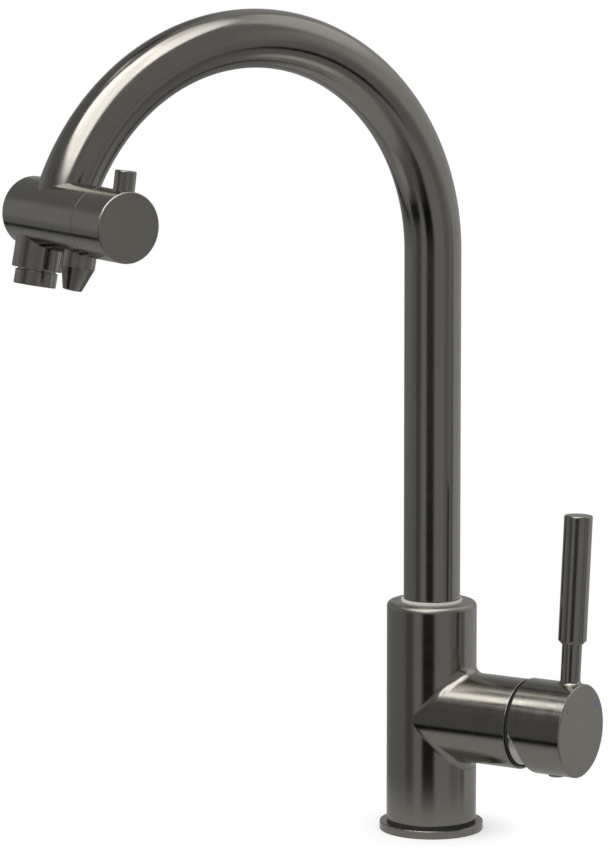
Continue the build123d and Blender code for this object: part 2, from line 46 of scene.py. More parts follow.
# Body and base
BODY_R = 22.3
BODY_FOOT = 2.4
BODY_TOP = 115.3
BODY_TOP_ROUND = 2.6
BODY_SHOULDER = 5.6
FOOT_NECK_R = 21.0
ARM_R = 22.25
ARM_HEIGHT = 58.9
ARM_END = 53.4
ARM_END_ROUND = 0.4
ARM_BLEND = 5.0
SADDLE_BAND = 28.0
CHAMBER_R = 17.6
CHAMBER_FLOOR = 24.0
NUT_THREAD_R = 18.4
NUT_THREAD_FLOOR = 46.0
SOCKET_R = 12.6
SOCKET_FOOT = 80.0
SOCKET_MOUTH_R = 13.6
SOCKET_MOUTH_FLOOR = 109.0
WATERWAY_R = 8.0
WATERWAY_FOOT = 46.0
PIPE_BORE_R = 4.6
INLET_SEAT_R = 18.7
INLET_SEAT_TOP = 20.0
LOCK_HEIGHT = 93.0
LOCK_ANGLE = 90
LOCK_BAND = 5.0
LOCK_COLUMNS = 6
LOCK_HOLE_R = 2.5
LOCK_HOLE_FLOOR = 13.2
BASE_RING_R = 25.75
BASE_RING_HEIGHT = 4.0
BASE_RING_ROUND = 0.4
BASE_RING_BORE = FOOT_NECK_R + 0.1
BASE_RING_HOLE = 18.9
GASKET_GROOVE = (21.4, 23.6, 1.3)
GLIDE_R = 15.2
GLIDE_ROUND = 0.35
GLIDE_BORE = 12.65
GLIDE_SKIRT_R = 13.5
GLIDE_SKIRT_FOOT = 109.4
GLIDE_TOP = BODY_TOP + 1.3

# Spout
SPOUT_SWING = 24.0
TUBE_R = 14.0
TUBE_WALL = 1.2
TUBE_FOOT = GLIDE_TOP + 0.1
BEND_R = 109.0
BEND_HEIGHT = 289.5
BEND_SWEEP = 163.3

# Outlet head and its knob, in the head's own frame: x along the head, -z along the outlets
OUTLET_LEAN = 11.0
HEAD_R = 16.5
HEAD_FAR = -25.2
HEAD_NEAR = 36.3
HEAD_FAR_ROUND = 0.8
KNOB_GAP_BREAK = 0.1
STUB_RISE = HEAD_R + 1
VALVE_CHAMBER_R = 11.0
VALVE_CHAMBER_FAR = 17.0
AERATOR_AT = -12.8
COLLAR_R = 12.0
COLLAR_END = 26.4
COLLAR_ROUND = 0.6
COLLAR_BORE = 9.2
COLLAR_BORE_TOP = 18.0
AERATOR_NECK_R = 9.1
AERATOR_R = 10.0
AERATOR_NECK_TOP = 19.6
AERATOR_TOP = 27.2
AERATOR_TOP_ROUND = 0.35
AERATOR_END = 34.1
AERATOR_LIP = 1.0
AERATOR_BORE = 8.0
AERATOR_MOUTH_R = 7.2
NOZZLE_AT = 22.4
NOZZLE_R = 7.8
NOZZLE_KNEE = 22.0
NOZZLE_KNEE_ROUND = 1.0
NOZZLE_END = 32.6
NOZZLE_TIP_R = 4.5
NOZZLE_TIP_ROUND = 0.4
NOZZLE_TIP_SHIFT = -2.1
NOZZLE_TIP_TILT = 5.0
NOZZLE_BORE = 3.0
KNOB_REAR = 36.5
KNOB_FACE = 59.7
KNOB_CHAMFER = 0.5
KNOB_WALL = 1.9
KNOB_FLOOR = 46.5
SPINDLE_HOLE_R = 4.05
SPINDLE_HOLE_END = 53.0
KNOB_SCREW_AT = 50.0
KNOB_SCREW_R = 2.0
KNOB_SCREW_DEPTH = 6.5
KNOB_SCREW_BAND = 3.5
KNOB_SCREW_COLUMNS = 4
PIN_AT = 52.0
PIN_R = 5.0
PIN_END = 25.6
PIN_ROUND = 0.6
PIN_TURN = 2.9

# Mixing handle
HANDLE_TURN = -3.0
PIVOT_X = 41.0
DOME_R = 24.3
DOME_WALL = 1.2
DOME_HOLE = 14.2
DOME_REAR = 54.5
DOME_GAP = 0.1
DOME_NECK_R = 19.2
DOME_NECK_BORE = 17.4
DOME_SPIGOT_R = 18.3
DOME_SPIGOT_END = 52.3
CAP_R = 23.1
CAP_WALL = 1.6
CAP_REAR = 55.3
CAP_REAR_BREAK = 0.6
CAP_FLOOR = 67.0
CAP_FACE = 84.5
CAP_CHAMFER = 0.6
CAP_CUT_BELOW = (0.0, 7.3, 24.0)
CAP_CUT_BACK = (0.0, 4.2, 7.6)
SCREW_X = 71.6
SCREW_HOLE_R = 3.9
SCREW_HOLE_DEPTH = 3.0
SCREW_BAND = 4.8
SCREW_COLUMNS = 7
PLUG_R = 3.85
PLUG_DEPTH = 2.9
PLUG_PROUD = 0.8
PLUG_ROUND = 0.5
LEVER_X = 77.1
LEVER_LEAN = 1.1
STEM_R = 4.9
STEM_FLARE = 1.8
STEM_TOP = 92.0
STEM_SPIGOT_R = STEM_R - 0.5
GRIP_R = 7.0
GRIP_FOOT = 42.6
GRIP_FOOT_CHAMFER = 1.7
GRIP_TOP = 105.9
GRIP_TOP_ROUND = 0.8
GRIP_BORE = STEM_R - 0.45
GRIP_BORE_TOP = STEM_TOP + 0.5
DOT_R = 1.25
DOT_DEPTH = 0.5
DOT_PROUD = 0.05
DOT_CIRCLE = 18.5
DOT_ANGLE = 52.0

# Camera, worked out from the outlines in the photograph
VIEW_AZIMUTH = 31.666
VIEW_ELEVATION = 9.017
VIEW_ROLL = -0.062
VIEW_DISTANCE = 2400.0
VIEW_SIDE = -61.991
VIEW_RISE = 200.829
FOCAL_PIXELS = 4808.25
LONG_SIDE_PIXELS = 850
SENSOR = 36.0

# Mesh fineness
BODY_SIDES = 144
SIDES = 96
SMALL_SIDES = 64
DOT_SIDES = 32
BEND_STEPS = 96
ARM_LEVELS = 24
BLEND_STEPS = 12
STUB_STEPS = 8
RING_STEPS = 6
ARC_LEAST_STEPS = 4
ARC_STEPS_PER_RADIAN = 7
SLOPE_STEP = 1e-4
SHORTEST_RUN = 1e-6

# Small lengths that pieces share: broken edges, how deep a foot sinks into what it stands on, and a
# straight's last stretch
EDGE_BREAK = 0.25
FINE_BREAK = 0.15
SINK = 0.2
LAST_STRETCH = 2.0

# Points are joined when they round to the same ten-thousandth of a millimetre. The offset keeps
# round sizes away from where rounding turns over.
WELD_GRID = 1e4
WELD_OFFSET = 0.317

# A run wears the finish of flat faces when its rise is small for its breadth, or its rounding is wide.
FACE_SLOPE = 0.9
FACE_ROUND = 2.0

# What a mesh carries for its finish: a flat map whose first direction runs along the piece, with a gap
# between patches and a rim, and the lay of the brushing. A blend's length on it is in ball radii.
BRUSH_MAP = "OFBake"
LAY = "lay"
MAP_GAP = 0.5
MAP_RIM = 0.01
BLEND_LENGTH = 1.5

# Finishes: marks and belts have two factors for round the piece and one per millimetre along it,
# clouds lie per metre, and depths are metres
NICKEL = (0.3, 0.284, 0.252)
FINE_MARKS = (2.5, 2.5, 3.2)
BROAD_BELTS = (0.7, 0.7, 0.22)
CLOUD_SCALE = 28.0
MARK_DEPTH = 0.000012
GRAIN_DEPTH = 0.00001
SPECKLES_PER_GRAIN = 40

# Stage: lengths are metres, and a glow of 1 shows white
WORLD_LIGHT = 0.75
MIDDLE = (0, 0, 0.2)
FLOOR_R = 4
FLOOR_SIDES = 64
FLOOR_COLOUR = (0.93, 0.93, 0.93)
FLOOR_ROUGHNESS = 0.9
FLOOR_FADE = (0.0, 0.045)
SHEET_GLOW = 0.45
SHEET_FADE = (0.065, 0.125)

# Each lamp is its name, place, side and watts, and is aimed at the middle of the tap.
LAMPS = (
    ("left_lamp", (-1.2, -1.0, 1.6), 1.2, 18),
    ("right_lamp", (1.4, -0.6, 1.4), 1.0, 8),
)

# The studio that the metal mirrors, a far sphere with one point a degree. Directions are degrees of
# azimuth from the photograph's camera, right positive, and of elevation.
SHELL_R = 10.0
SHELL_POINTS = (361, 181)
WALL_GLOW = 0.25

# The bright ceiling by azimuth: the elevation of its lower edge, that edge's softness, and its glow.
CEILING = (
    (-180, 73, 4, 1.6),
    (-130, 75, 3, 2.7),
    (-105, 73, 3, 3.5),
    (-97, 63.5, 3, 4.2),
    (-90, 54.5, 3, 4.4),
    (-82, 49.5, 3, 4.4),
    (-75, 46.5, 3, 4.0),
    (-60, 41.5, 3, 3.3),
    (-45, 37, 3, 3.2),
    (-30, 31, 4, 2.9),
    (-20, 28, 5, 2.8),
    (-8, 28, 6, 3.2),
    (-3, 36, 16, 2.6),
    (3, 47, 18, 2.6),
    (8, 54, 12, 3.2),
    (20, 60, 5, 3.5),
    (60, 62, 4, 2.7),
    (90, 63, 6, 2.4),
    (120, 66, 12, 1.9),
    (180, 72, 10, 1.6),
)

# Each card is azimuth, elevation, half width, half height, edge softness and glow.
CARDS = (
    (0, -75, 180, 22, 8, 0.46),
    (45, 27, 32, 29, 8, 0.3),
    (112, 4, 38, 22, 14, 0.54),
    (120, 42, 32, 17, 12, 0.9),
    (175, 25, 25, 40, 14, 0.42),
    (-118, 36, 60, 18, 12, 0.22),
    (-62, 32, 16, 4, 5, 0.12),
    (-150, 54, 12, 4, 6, 0.05),
    (-114, 6, 22, 14, 10, 0.37),
    (-135, -35, 45, 10, 8, 0.36),
    (-37, -44, 53, 8, 8, 0.2),
    (-84, -41, 18, 10, 6, 0.5),
    (-61, -4, 10, 30, 8, 0.14),
    (-38, -8, 8, 14, 7, 0.34),
    (28, -18, 19, 19, 8, 0.34),
    (84, -18, 8, 14, 8, 0.2),
    (59, -28.5, 15, 4.5, 3, 0.005),
    (135, -45, 20, 25, 12, 0.26),
    (66, -61, 12, 6, 10, 0.75),
    (88, -56, 12, 6, 10, 0.75),
    (-62, -26, 19, 6, 4, 0.003),
    (-118, -20.5, 25, 2.2, 2, 0.01),
    (-11, -8, 13, 8, 7, 0.07),
    (-10, -21, 15, 11, 7, 0.004),
    (2, -33, 13, 6, 6, 0.05),
    (-125, 59, 8, 3, 4, 1.8),
)


# Frames of the groups, as 4 by 4 matrices
def turn(axis, degrees):
    """The matrix that turns about the x, y or z axis by that many degrees."""
    c, s = math.cos(math.radians(degrees)), math.sin(math.radians(degrees))
    a, b = {"x": (1, 2), "y": (2, 0), "z": (0, 1)}[axis]
    m = np.eye(4)
    m[a, a], m[a, b], m[b, a], m[b, b] = c, -s, s, c
    return m


def shift(x, y, z):
    """The matrix that moves by x, y, z."""
    m = np.eye(4)
    m[:3, 3] = x, y, z
    return m


def looking_out(angle, height):
    """The frame of a hole in an upright round wall: z out of the wall at that angle, y up."""
    c, s = math.cos(math.radians(angle)), math.sin(math.radians(angle))
    return np.array([[-s, 0, c, 0], [c, 0, s, 0], [0, 1, 0, height], [0, 0, 0, 1]], float)


BEND_END = math.radians(BEND_SWEEP)
REACH = BEND_R * (1 - math.cos(BEND_END))
HEAD_HEIGHT = BEND_HEIGHT + BEND_R * math.sin(BEND_END)
UPRIGHT = np.eye(4)
ALONG_X = turn("y", 90)
AXIS_TO_X = np.array([[0, 0, 1, 0], [1, 0, 0, 0], [0, 1, 0, 0], [0, 0, 0, 1]], float)
X_UPWARD = np.array([[0, 0, 1, 0], [0, -1, 0, 0], [1, 0, 0, 0], [0, 0, 0, 1]], float)
FLIPPED = turn("x", 180)
ARM = shift(0, 0, ARM_HEIGHT)
HANDLE = ARM @ turn("x", HANDLE_TURN)
SPOUT = turn("z", -SPOUT_SWING)
HEAD = SPOUT @ shift(0, -REACH, HEAD_HEIGHT) @ turn("x", -OUTLET_LEAN)
AERATOR = HEAD @ shift(AERATOR_AT, 0, 0) @ FLIPPED
KNOB = HEAD @ turn("x", PIN_TURN)
LEAN = np.eye(4)
LEAN[0, 2] = math.tan(math.radians(LEVER_LEAN))
LEVER = HANDLE @ shift(LEVER_X, 0, 0) @ LEAN


# Patches. A patch is a grid of points with their outward normals and their lay: how far along the
# piece they are, in millimetres, and how far round it, in radians.
def patch(points, normals, along, around, face=False):
    """One patch; face says that it wears the finish of flat faces."""
    return {"points": points, "normals": normals, "along": along, "around": around, "face": face}


def surface(place, steps, columns, start, length, face=False):
    """The patch of points place(u, v), for u from 0 to 1 in steps and v in columns.

    A normal is the cross product of the surface's two slopes, each measured over a tiny step.
    """
    u, v = np.meshgrid(np.linspace(0, 1, steps + 1), columns, indexing="ij")
    inner = np.clip(u, 2 * SLOPE_STEP, 1 - 2 * SLOPE_STEP)
    slope_u = place(inner + SLOPE_STEP, v) - place(inner - SLOPE_STEP, v)
    slope_v = place(inner, v + SLOPE_STEP) - place(inner, v - SLOPE_STEP)
    normals = np.cross(slope_v, slope_u)
    normals /= np.linalg.norm(normals, axis=-1, keepdims=True)
    return patch(place(u, v), normals, start + length * u, v, face)


def stacked(x, y, z):
    """The points (x, y, z) of three arrays or numbers, spread to one shape."""
    return np.stack(np.broadcast_arrays(x, y, z), axis=-1)


def moved(matrix, points):
    """The points turned by the matrix's 3 by 3 part and moved by its last column."""
    return points @ matrix[:3, :3].T + matrix[:3, 3]


def round_points(matrix, r, v, z):
    """The points at radius r, angle v and height z in the matrix's frame: (r cos v, r sin v, z)."""
    return moved(matrix, stacked(r * np.cos(v), r * np.sin(v), z))


def circle(sides):
    """The angles of a closed circle in radians, the first again at the end."""
    return np.linspace(0, 2 * np.pi, sides + 1)


# Half outlines. A run is a function from 0..1 to radius and height, its length, its steps, and
# whether it wears the finish of flat faces.
def straight(p, q):
    """The run from p to q: p + (q - p) t."""
    (r0, z0), (r1, z1) = p, q

    def at(t):
        return r0 + (r1 - r0) * t, z0 + (z1 - z0) * t

    return at, math.hypot(r1 - r0, z1 - z0), 1, abs(r1 - r0) > FACE_SLOPE * abs(z1 - z0)


def arc(middle, radius, start, end):
    """The run round a middle: middle + radius (cos a, sin a), a going from start to end in radians."""
    sweep = abs(end - start)
    steps = max(ARC_LEAST_STEPS, math.ceil(sweep * ARC_STEPS_PER_RADIAN))

    def at(t):
        a = start + (end - start) * t
        return middle[0] + radius * np.cos(a), middle[1] + radius * np.sin(a)

    return at, radius * sweep, steps, radius > FACE_ROUND


def outline(corners, closed=False):
    """The runs through (radius, height) corners, up the outside first.

    A third number rounds the corner: the arc's middle lies on the bisector, at rounding / sin(half the
    corner's angle), and the arc starts and ends rounding / tan(half the angle) from the corner.
    """
    corners = [np.array((*c, 0.0)[:3], float) for c in corners]
    count = len(corners)
    cuts = []
    for k, corner in enumerate(corners):
        here, rounding = corner[:2], corner[2]
        if rounding == 0:
            cuts.append((here, here, None, 0.0))
            continue
        back = corners[k - 1][:2] - here
        on = corners[(k + 1) % count][:2] - here
        back, on = back / np.linalg.norm(back), on / np.linalg.norm(on)
        half = math.acos(float(back @ on)) / 2
        middle = here + (back + on) / np.linalg.norm(back + on) * rounding / math.sin(half)
        reach = rounding / math.tan(half)
        cuts.append((here + back * reach, here + on * reach, middle, rounding))
    runs = []
    for k, (enter, leave, middle, rounding) in enumerate(cuts):
        if rounding:
            a, b = (math.atan2(*(p - middle)[::-1]) for p in (enter, leave))
            turn_by = (b - a + math.pi) % (2 * math.pi) - math.pi
            runs.append(arc(middle, rounding, a, a + turn_by))
        if closed or k + 1 < count:
            runs.append(straight(leave, cuts[(k + 1) % count][0]))
    return [run for run in runs if run[1] > SHORTEST_RUN]


def turned(runs, matrix=UPRIGHT, angles=None, shape=None, start=0.0):
    """The patches of runs turned about z: (r cos v, r sin v, height), bent by shape if there is one."""
    angles = circle(SIDES) if angles is None else angles
    patches = []
    for at, length, steps, flat in runs:

        def place(u, v, at=at):
            r, z = at(u)
            points = stacked(r * np.cos(v), r * np.sin(v), z)
            return moved(matrix, shape(points) if shape else points)

        patches.append(surface(place, steps, angles, start, length, flat))
        start += length
    return patches


def ported_band(radius, low, high, angle, columns, sides, levels, rim, rings, matrix=UPRIGHT):
    """A band of a round wall with an opening, and the directions round the opening at its grid columns.

    The window round the opening is a grid of rings from its rectangle to the rim: each point is
    (1 - s) edge + s rim on the unrolled wall, which is then rolled up again.
    """
    half = columns * 2 * np.pi / sides
    middle, rise = (low + high) / 2, (high - low) / 2
    facing = math.radians(angle)
    heights = np.linspace(low, high, levels + 1)
    sweep = np.linspace(-half, half, 2 * columns + 1)
    up, down = heights[:-1], heights[::-1][:-1]
    x = np.concatenate([np.full(levels, half), sweep[::-1][:-1], np.full(levels, -half), sweep])
    z = np.concatenate([up, np.full(2 * columns, high), down, np.full(2 * columns + 1, low)])
    alpha = np.unwrap(np.arctan2((z - middle) / rise, x / half))
    rim_x, rim_z = rim(alpha)
    share = np.linspace(0, 1, rings + 1)[:, None]
    theta = facing + (1 - share) * x + share * rim_x / radius
    height = (1 - share) * z + share * rim_z
    rest = np.linspace(facing + half, facing + 2 * np.pi - half, sides - 2 * columns + 1)

    def rolled(theta, height):
        out = stacked(np.cos(theta), np.sin(theta), 0.0)
        points = radius * out + stacked(0.0, 0.0, height)
        return patch(moved(matrix, points), out @ matrix[:3, :3].T, height, theta)

    return [rolled(theta, height), rolled(*np.meshgrid(rest, heights))], alpha


def drilled_band(radius, low, high, angle, columns, sides, hole, floor, matrix=UPRIGHT):
    """A band of a round wall with a blind round hole in its middle, its rim broken by a small chamfer.

    The rim lies on the wall, at radius asin(mouth cos a / radius) round it and mouth sin a up it.
    """
    height = (low + high) / 2
    mouth = hole + EDGE_BREAK

    def rim(alpha):
        return radius * np.arcsin(mouth * np.cos(alpha) / radius), height + mouth * np.sin(alpha)

    band = (radius, low, high, angle, columns, sides)
    patches, alpha = ported_band(*band, RING_STEPS, rim, RING_STEPS, matrix)
    out = matrix @ looking_out(angle, height)

    def depth(r, v):
        return np.sqrt(radius**2 - (r * np.cos(v)) ** 2)

    def chamfer(u, v):
        r = mouth + (hole - mouth) * u
        return round_points(out, r, v, depth(mouth, v) - EDGE_BREAK * u)

    def wall(u, v):
        z = (1 - u) * (depth(mouth, v) - EDGE_BREAK) + u * floor
        return round_points(out, hole, v, z)

    patches.append(surface(chamfer, 1, alpha, 0, EDGE_BREAK))
    patches.append(surface(wall, 1, alpha, 0, radius - floor))
    return patches + turned([straight((hole, floor), (0, floor))], out, alpha)


def placed(name, data):
    """A new object of that data, in the scene."""
    thing = bpy.data.objects.new(name, data)
    bpy.context.scene.collection.objects.link(thing)
    return thing


def make_piece(name, patches, body, nodes, slot, materials):
    """One closed mesh from its patches, in metres.

    Points that coincide are joined, and each corner keeps its own patch's normal, its lay, and a place
    on a map whose first direction runs along the piece.
    """
    points, normals, lays, places, triangles, worn = [], [], [], [], [], []
    lengths = [np.ptp(p["along"]) + 2 * MAP_GAP for p in patches]
    offset, laid = 0, 0.0
    for p, length in zip(patches, lengths):
        count, across = p["along"].shape
        index = np.arange(count * across).reshape(count, across) + offset
        a, b, c, d = index[:-1, :-1], index[:-1, 1:], index[1:, 1:], index[1:, :-1]
        for corners in ((a, b, c), (a, c, d)):
            triangles.append(np.stack(corners, -1).reshape(-1, 3))
            worn.append(np.full(len(triangles[-1]), int(p["face"])))
        along, around = p["along"].ravel(), p["around"].ravel()
        points.append(p["points"].reshape(-1, 3))
        normals.append(p["normals"].reshape(-1, 3))
        lays.append(stacked(np.cos(around), np.sin(around), along))
        u = (laid + MAP_GAP + along - along.min()) / sum(lengths)
        v = MAP_RIM + (1 - 2 * MAP_RIM) * (around - around.min()) / np.ptp(around)
        places.append(np.stack([u, v], -1))
        offset += count * across
        laid += length
    points, normals = np.concatenate(points), np.concatenate(normals)
    triangles, worn = np.concatenate(triangles), np.concatenate(worn)
    keys = np.round(points * WELD_GRID + WELD_OFFSET).astype(np.int64)
    _, first, joined = np.unique(keys, axis=0, return_index=True, return_inverse=True)
    joined = joined.ravel()[triangles]
    whole = (joined != np.roll(joined, 1, axis=1)).all(axis=1)
    triangles, joined, worn = triangles[whole], joined[whole], worn[whole]
    corners = triangles.ravel()

    mesh = bpy.data.meshes.new(name)
    mesh.vertices.add(len(first))
    mesh.vertices.foreach_set("co", (points[first] * METRES).astype(np.float32).ravel())
    mesh.loops.add(len(corners))
    mesh.loops.foreach_set("vertex_index", joined.astype(np.int32).ravel())
    mesh.polygons.add(len(triangles))
    mesh.polygons.foreach_set("loop_start", np.arange(0, len(corners), 3, dtype=np.int32))
    mesh.polygons.foreach_set("material_index", np.minimum(worn, len(materials) - 1).astype(np.int32))
    mesh.update(calc_edges=True)
    flat_map = mesh.uv_layers.new(name=BRUSH_MAP)
    flat_map.uv.foreach_set("vector", np.concatenate(places)[corners].astype(np.float32).ravel())
    lay = mesh.attributes.new(LAY, "FLOAT_VECTOR", "CORNER")
    lay.data.foreach_set("vector", np.concatenate(lays)[corners].astype(np.float32).ravel())
    for material in materials:
        mesh.materials.append(material)
    mesh.normals_split_custom_set(normals[corners].tolist())
    piece = placed(name, mesh)
    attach(piece, body)
    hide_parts(*nodes)


# Joins between round pieces
def saddle(wall_r, branch_r, ball):
    """The blend between an upright round wall and a round branch along x: a ball rolled round the join.

    The ball's centre is ball away from both walls; rim is where it touches the wall, unrolled, and
    blend(u, v) turns the touching direction from the wall's to the branch's.
    """

    def centre(v):
        y = (branch_r + ball) * np.cos(v)
        return np.sqrt((wall_r + ball) ** 2 - y**2), y, (branch_r + ball) * np.sin(v)

    def rim(v):
        x, y, z = centre(v)
        return wall_r * np.arctan2(y, x), z

    def blend(u, v):
        x, y, z = centre(v)
        to_wall = stacked(-x, -y, 0.0) / (wall_r + ball)
        to_branch = stacked(0.0, -np.cos(v), -np.sin(v))
        angle = np.arccos((to_wall * to_branch).sum(-1, keepdims=True))
        share = u[..., None]
        way = np.sin((1 - share) * angle) * to_wall + np.sin(share * angle) * to_branch
        return stacked(x, y, z) + ball * way / np.sin(angle)

    return centre, rim, blend


def branch(centre, blend, radius, end, runs, matrix, alpha, ball):
    """The blend, the straight branch from it to end, and the turned runs beyond, about x."""

    def rolled(u, v):
        return moved(matrix, blend(u, v))

    def straight_part(u, v):
        x = (1 - u) * centre(v)[0] + u * end
        return moved(matrix, stacked(x, radius * np.cos(v), radius * np.sin(v)))

    patches = [surface(rolled, BLEND_STEPS, alpha, -BLEND_LENGTH * ball, BLEND_LENGTH * ball)]
    patches.append(surface(straight_part, 1, alpha, 0.0, end))
    return patches + turned(runs, matrix @ AXIS_TO_X, alpha, start=end)


def coped_stub(radius, matrix, runs, shape=None):
    """A round stub on the head or its knob: its foot follows their round, a hair inside it.

    The foot lies at sqrt(bar^2 - (r sin v)^2), where bar is a hair less than the head's radius.
    """
    bar = HEAD_R - SINK

    def foot(r, v):
        return np.sqrt(bar**2 - (r * np.sin(v)) ** 2)

    def base(u, v):
        r = radius * u
        return round_points(matrix, r, v, foot(r, v))

    def wall(u, v):
        z = (1 - u) * foot(radius, v) + u * STUB_RISE
        return round_points(matrix, radius, v, z)

    angles = circle(SMALL_SIDES)
    patches = [surface(base, STUB_STEPS, angles, 0, radius, True)]
    patches.append(surface(wall, 1, angles, HEAD_R, STUB_RISE - HEAD_R))
    return patches + turned(runs, matrix, angles, shape, STUB_RISE)


# The pieces that show
def tap_body():
    """The cast body: an upright barrel, a side arm blended into it, and its chambers."""
    angles = circle(BODY_SIDES)
    low, high = ARM_HEIGHT - SADDLE_BAND, ARM_HEIGHT + SADDLE_BAND
    lock_low, lock_high = LOCK_HEIGHT - LOCK_BAND, LOCK_HEIGHT + LOCK_BAND
    foot = [
        (INLET_SEAT_R, BODY_FOOT),
        (FOOT_NECK_R, BODY_FOOT),
        (FOOT_NECK_R, BODY_SHOULDER),
        (BODY_R, BODY_SHOULDER, EDGE_BREAK),
        (BODY_R, low),
    ]
    patches = turned(outline(foot), angles=angles)
    centre, rim, blend = saddle(BODY_R, ARM_R, ARM_BLEND)

    def arm_rim(alpha):
        x, z = rim(alpha)
        return x, z + ARM_HEIGHT

    columns = BODY_SIDES // 4
    band, alpha = ported_band(BODY_R, low, high, 0, columns, BODY_SIDES, ARM_LEVELS, arm_rim, BLEND_STEPS)
    arm_end = outline(
        [
            (ARM_R, ARM_END - LAST_STRETCH),
            (ARM_R, ARM_END, ARM_END_ROUND),
            (NUT_THREAD_R, ARM_END, EDGE_BREAK),
            (NUT_THREAD_R, NUT_THREAD_FLOOR),
            (CHAMBER_R, NUT_THREAD_FLOOR),
            (CHAMBER_R, CHAMBER_FLOOR),
            (0, CHAMBER_FLOOR),
        ]
    )
    patches += band
    patches += branch(centre, blend, ARM_R, ARM_END - LAST_STRETCH, arm_end, ARM, alpha, ARM_BLEND)
    patches += turned([straight((BODY_R, high), (BODY_R, lock_low))], angles=angles, start=high)
    lock_band = (BODY_R, lock_low, lock_high, LOCK_ANGLE, LOCK_COLUMNS, BODY_SIDES)
    patches += drilled_band(*lock_band, LOCK_HOLE_R, LOCK_HOLE_FLOOR)
    inside = outline(
        [
            (BODY_R, lock_high),
            (BODY_R, BODY_TOP, BODY_TOP_ROUND),
            (SOCKET_MOUTH_R, BODY_TOP, EDGE_BREAK),
            (SOCKET_MOUTH_R, SOCKET_MOUTH_FLOOR),
            (SOCKET_R, SOCKET_MOUTH_FLOOR),
            (SOCKET_R, SOCKET_FOOT),
            (WATERWAY_R, SOCKET_FOOT),
            (WATERWAY_R, WATERWAY_FOOT),
            (PIPE_BORE_R, WATERWAY_FOOT),
            (PIPE_BORE_R, INLET_SEAT_TOP),
            (INLET_SEAT_R, INLET_SEAT_TOP),
            (INLET_SEAT_R, BODY_FOOT),
        ]
    )
    return patches + turned(inside, angles=angles, start=lock_high)


def base_ring():
    """The foot ring: a closed outline, with a groove for its gasket below, turned about z."""
    groove_in, groove_out, groove_top = GASKET_GROOVE
    corners = [
        (BASE_RING_R, 0),
        (BASE_RING_R, BASE_RING_HEIGHT, BASE_RING_ROUND),
        (BASE_RING_BORE, BASE_RING_HEIGHT),
        (BASE_RING_BORE, BODY_FOOT),
        (BASE_RING_HOLE, BODY_FOOT),
        (BASE_RING_HOLE, 0),
        (groove_in, 0),
        (groove_in, groove_top),
        (groove_out, groove_top),
        (groove_out, 0),
    ]
    return turned(outline(corners, closed=True), angles=circle(BODY_SIDES))


def glide_ring():
    """The plastic ring under the spout, with a skirt in the body's mouth: an outline turned about z."""
    corners = [
        (GLIDE_R, BODY_TOP),
        (GLIDE_R, GLIDE_TOP, GLIDE_ROUND),
        (GLIDE_BORE, GLIDE_TOP),
        (GLIDE_BORE, GLIDE_SKIRT_FOOT),
        (GLIDE_SKIRT_R, GLIDE_SKIRT_FOOT),
        (GLIDE_SKIRT_R, BODY_TOP),
    ]
    return turned(outline(corners, closed=True))


def dome_collar():
    """The domed cover: a shell of two concentric arcs on a narrower neck, turned about the arm."""
    rear, inner_r = DOME_REAR - PIVOT_X, DOME_R - DOME_WALL
    foot, seat = ARM_END + DOME_GAP - PIVOT_X, DOME_SPIGOT_END - PIVOT_X
    outer = (math.asin(rear / DOME_R), math.acos(DOME_HOLE / DOME_R))
    inner = (math.acos(DOME_NECK_BORE / inner_r), math.acos(DOME_HOLE / inner_r))
    runs = [
        arc((0, 0), DOME_R, *outer),
        straight((DOME_HOLE, DOME_R * math.sin(outer[1])), (DOME_HOLE, inner_r * math.sin(inner[1]))),
        arc((0, 0), inner_r, *inner[::-1]),
    ]
    corners = [
        (DOME_NECK_BORE, inner_r * math.sin(inner[0])),
        (DOME_NECK_BORE, seat),
        (DOME_SPIGOT_R, seat),
        (DOME_SPIGOT_R, foot),
        (DOME_NECK_R, foot),
        (DOME_NECK_R, rear),
        (DOME_R * math.cos(outer[0]), rear),
    ]
    return turned(runs + outline(corners), ARM @ shift(PIVOT_X, 0, 0) @ ALONG_X)


def spout_tube():
    """The bent tube. A ring point at angle v lies bend radius + r sin v from the bend's centre, and its
    line round the bend stops where it meets the head, which the cosine rule gives."""

    def sweep_end(r, v):
        reach = BEND_R + r * np.sin(v)
        left = (reach**2 + BEND_R**2 - HEAD_R**2) / (2 * BEND_R * reach)
        return BEND_END - np.arccos(left)

    def bent(r, t, v):
        reach = BEND_R + r * np.sin(v)
        points = stacked(r * np.cos(v), reach * np.cos(t) - BEND_R, BEND_HEIGHT + reach * np.sin(t))
        return moved(SPOUT, points)

    def outside(u, v):
        return bent(TUBE_R, u * sweep_end(TUBE_R, v), v)

    def rim(u, v):
        r = TUBE_R - TUBE_WALL * u
        return bent(r, sweep_end(r, v), v)

    def inside(u, v):
        return bent(bore, (1 - u) * sweep_end(bore, v), v)

    bore = TUBE_R - TUBE_WALL
    angles = circle(SIDES)
    rise, bend = BEND_HEIGHT - TUBE_FOOT, BEND_R * BEND_END
    corner = TUBE_FOOT + LAST_STRETCH
    foot = outline([(bore, TUBE_FOOT), (TUBE_R, TUBE_FOOT, EDGE_BREAK), (TUBE_R, corner)])
    patches = turned(foot + [straight((TUBE_R, corner), (TUBE_R, BEND_HEIGHT))], SPOUT, angles)
    patches += [
        surface(outside, BEND_STEPS, angles, rise, bend),
        surface(rim, 1, angles, 0, TUBE_WALL, True),
        surface(inside, BEND_STEPS, angles, 0, bend),
    ]
    return patches + turned([straight((bore, BEND_HEIGHT), (bore, TUBE_FOOT))], SPOUT, angles)


